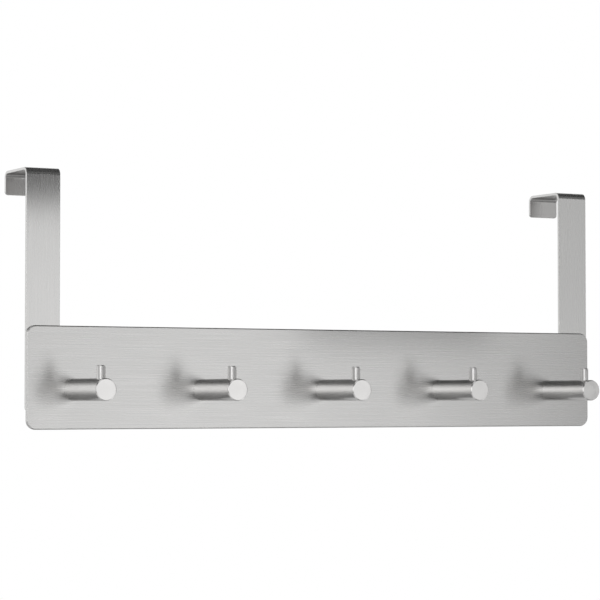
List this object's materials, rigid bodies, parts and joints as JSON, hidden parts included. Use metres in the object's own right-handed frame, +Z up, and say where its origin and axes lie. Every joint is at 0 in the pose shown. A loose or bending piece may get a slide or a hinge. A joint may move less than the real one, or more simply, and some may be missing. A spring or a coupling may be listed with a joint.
{
  "type": "over door hook rail",
  "caption": "Over-door hook rail: flat brushed steel plate on bent straps that hang over a door, with a row of round pegs that each carry an upright retaining pin.",
  "frame": {"origin": "mid-width of the rail, on the door's top front edge: the plane of the straps' backs meets the plane of the undersides of their top runs", "axes": "+X along the rail to the right of someone facing the door, +Y into the door, +Z up; the pegs point along -Y"},
  "size_m": [0.4716, 0.0995, 0.1831],
  "materials": {
    "plate_steel": "stainless sheet, brushed along its length",
    "strap_steel": "stainless strip, brushed along its length",
    "peg_steel": "stainless bar, turned and satin ground",
    "pin_steel": "stainless pin, satin ground",
    "screw_steel": "stainless machine screw, plain"
  },
  "bodies": {
    "root": {"rail_plate": "plate_steel", "left_door_strap": "strap_steel", "right_door_strap": "strap_steel", "peg_1": "peg_steel", "peg_2": "peg_steel", "peg_3": "peg_steel", "peg_4": "peg_steel", "peg_5": "peg_steel", "peg_pin_1": "pin_steel", "peg_pin_2": "pin_steel", "peg_pin_3": "pin_steel", "peg_pin_4": "pin_steel", "peg_pin_5": "pin_steel", "peg_screws": "screw_steel"}
  },
  "joints": []
}
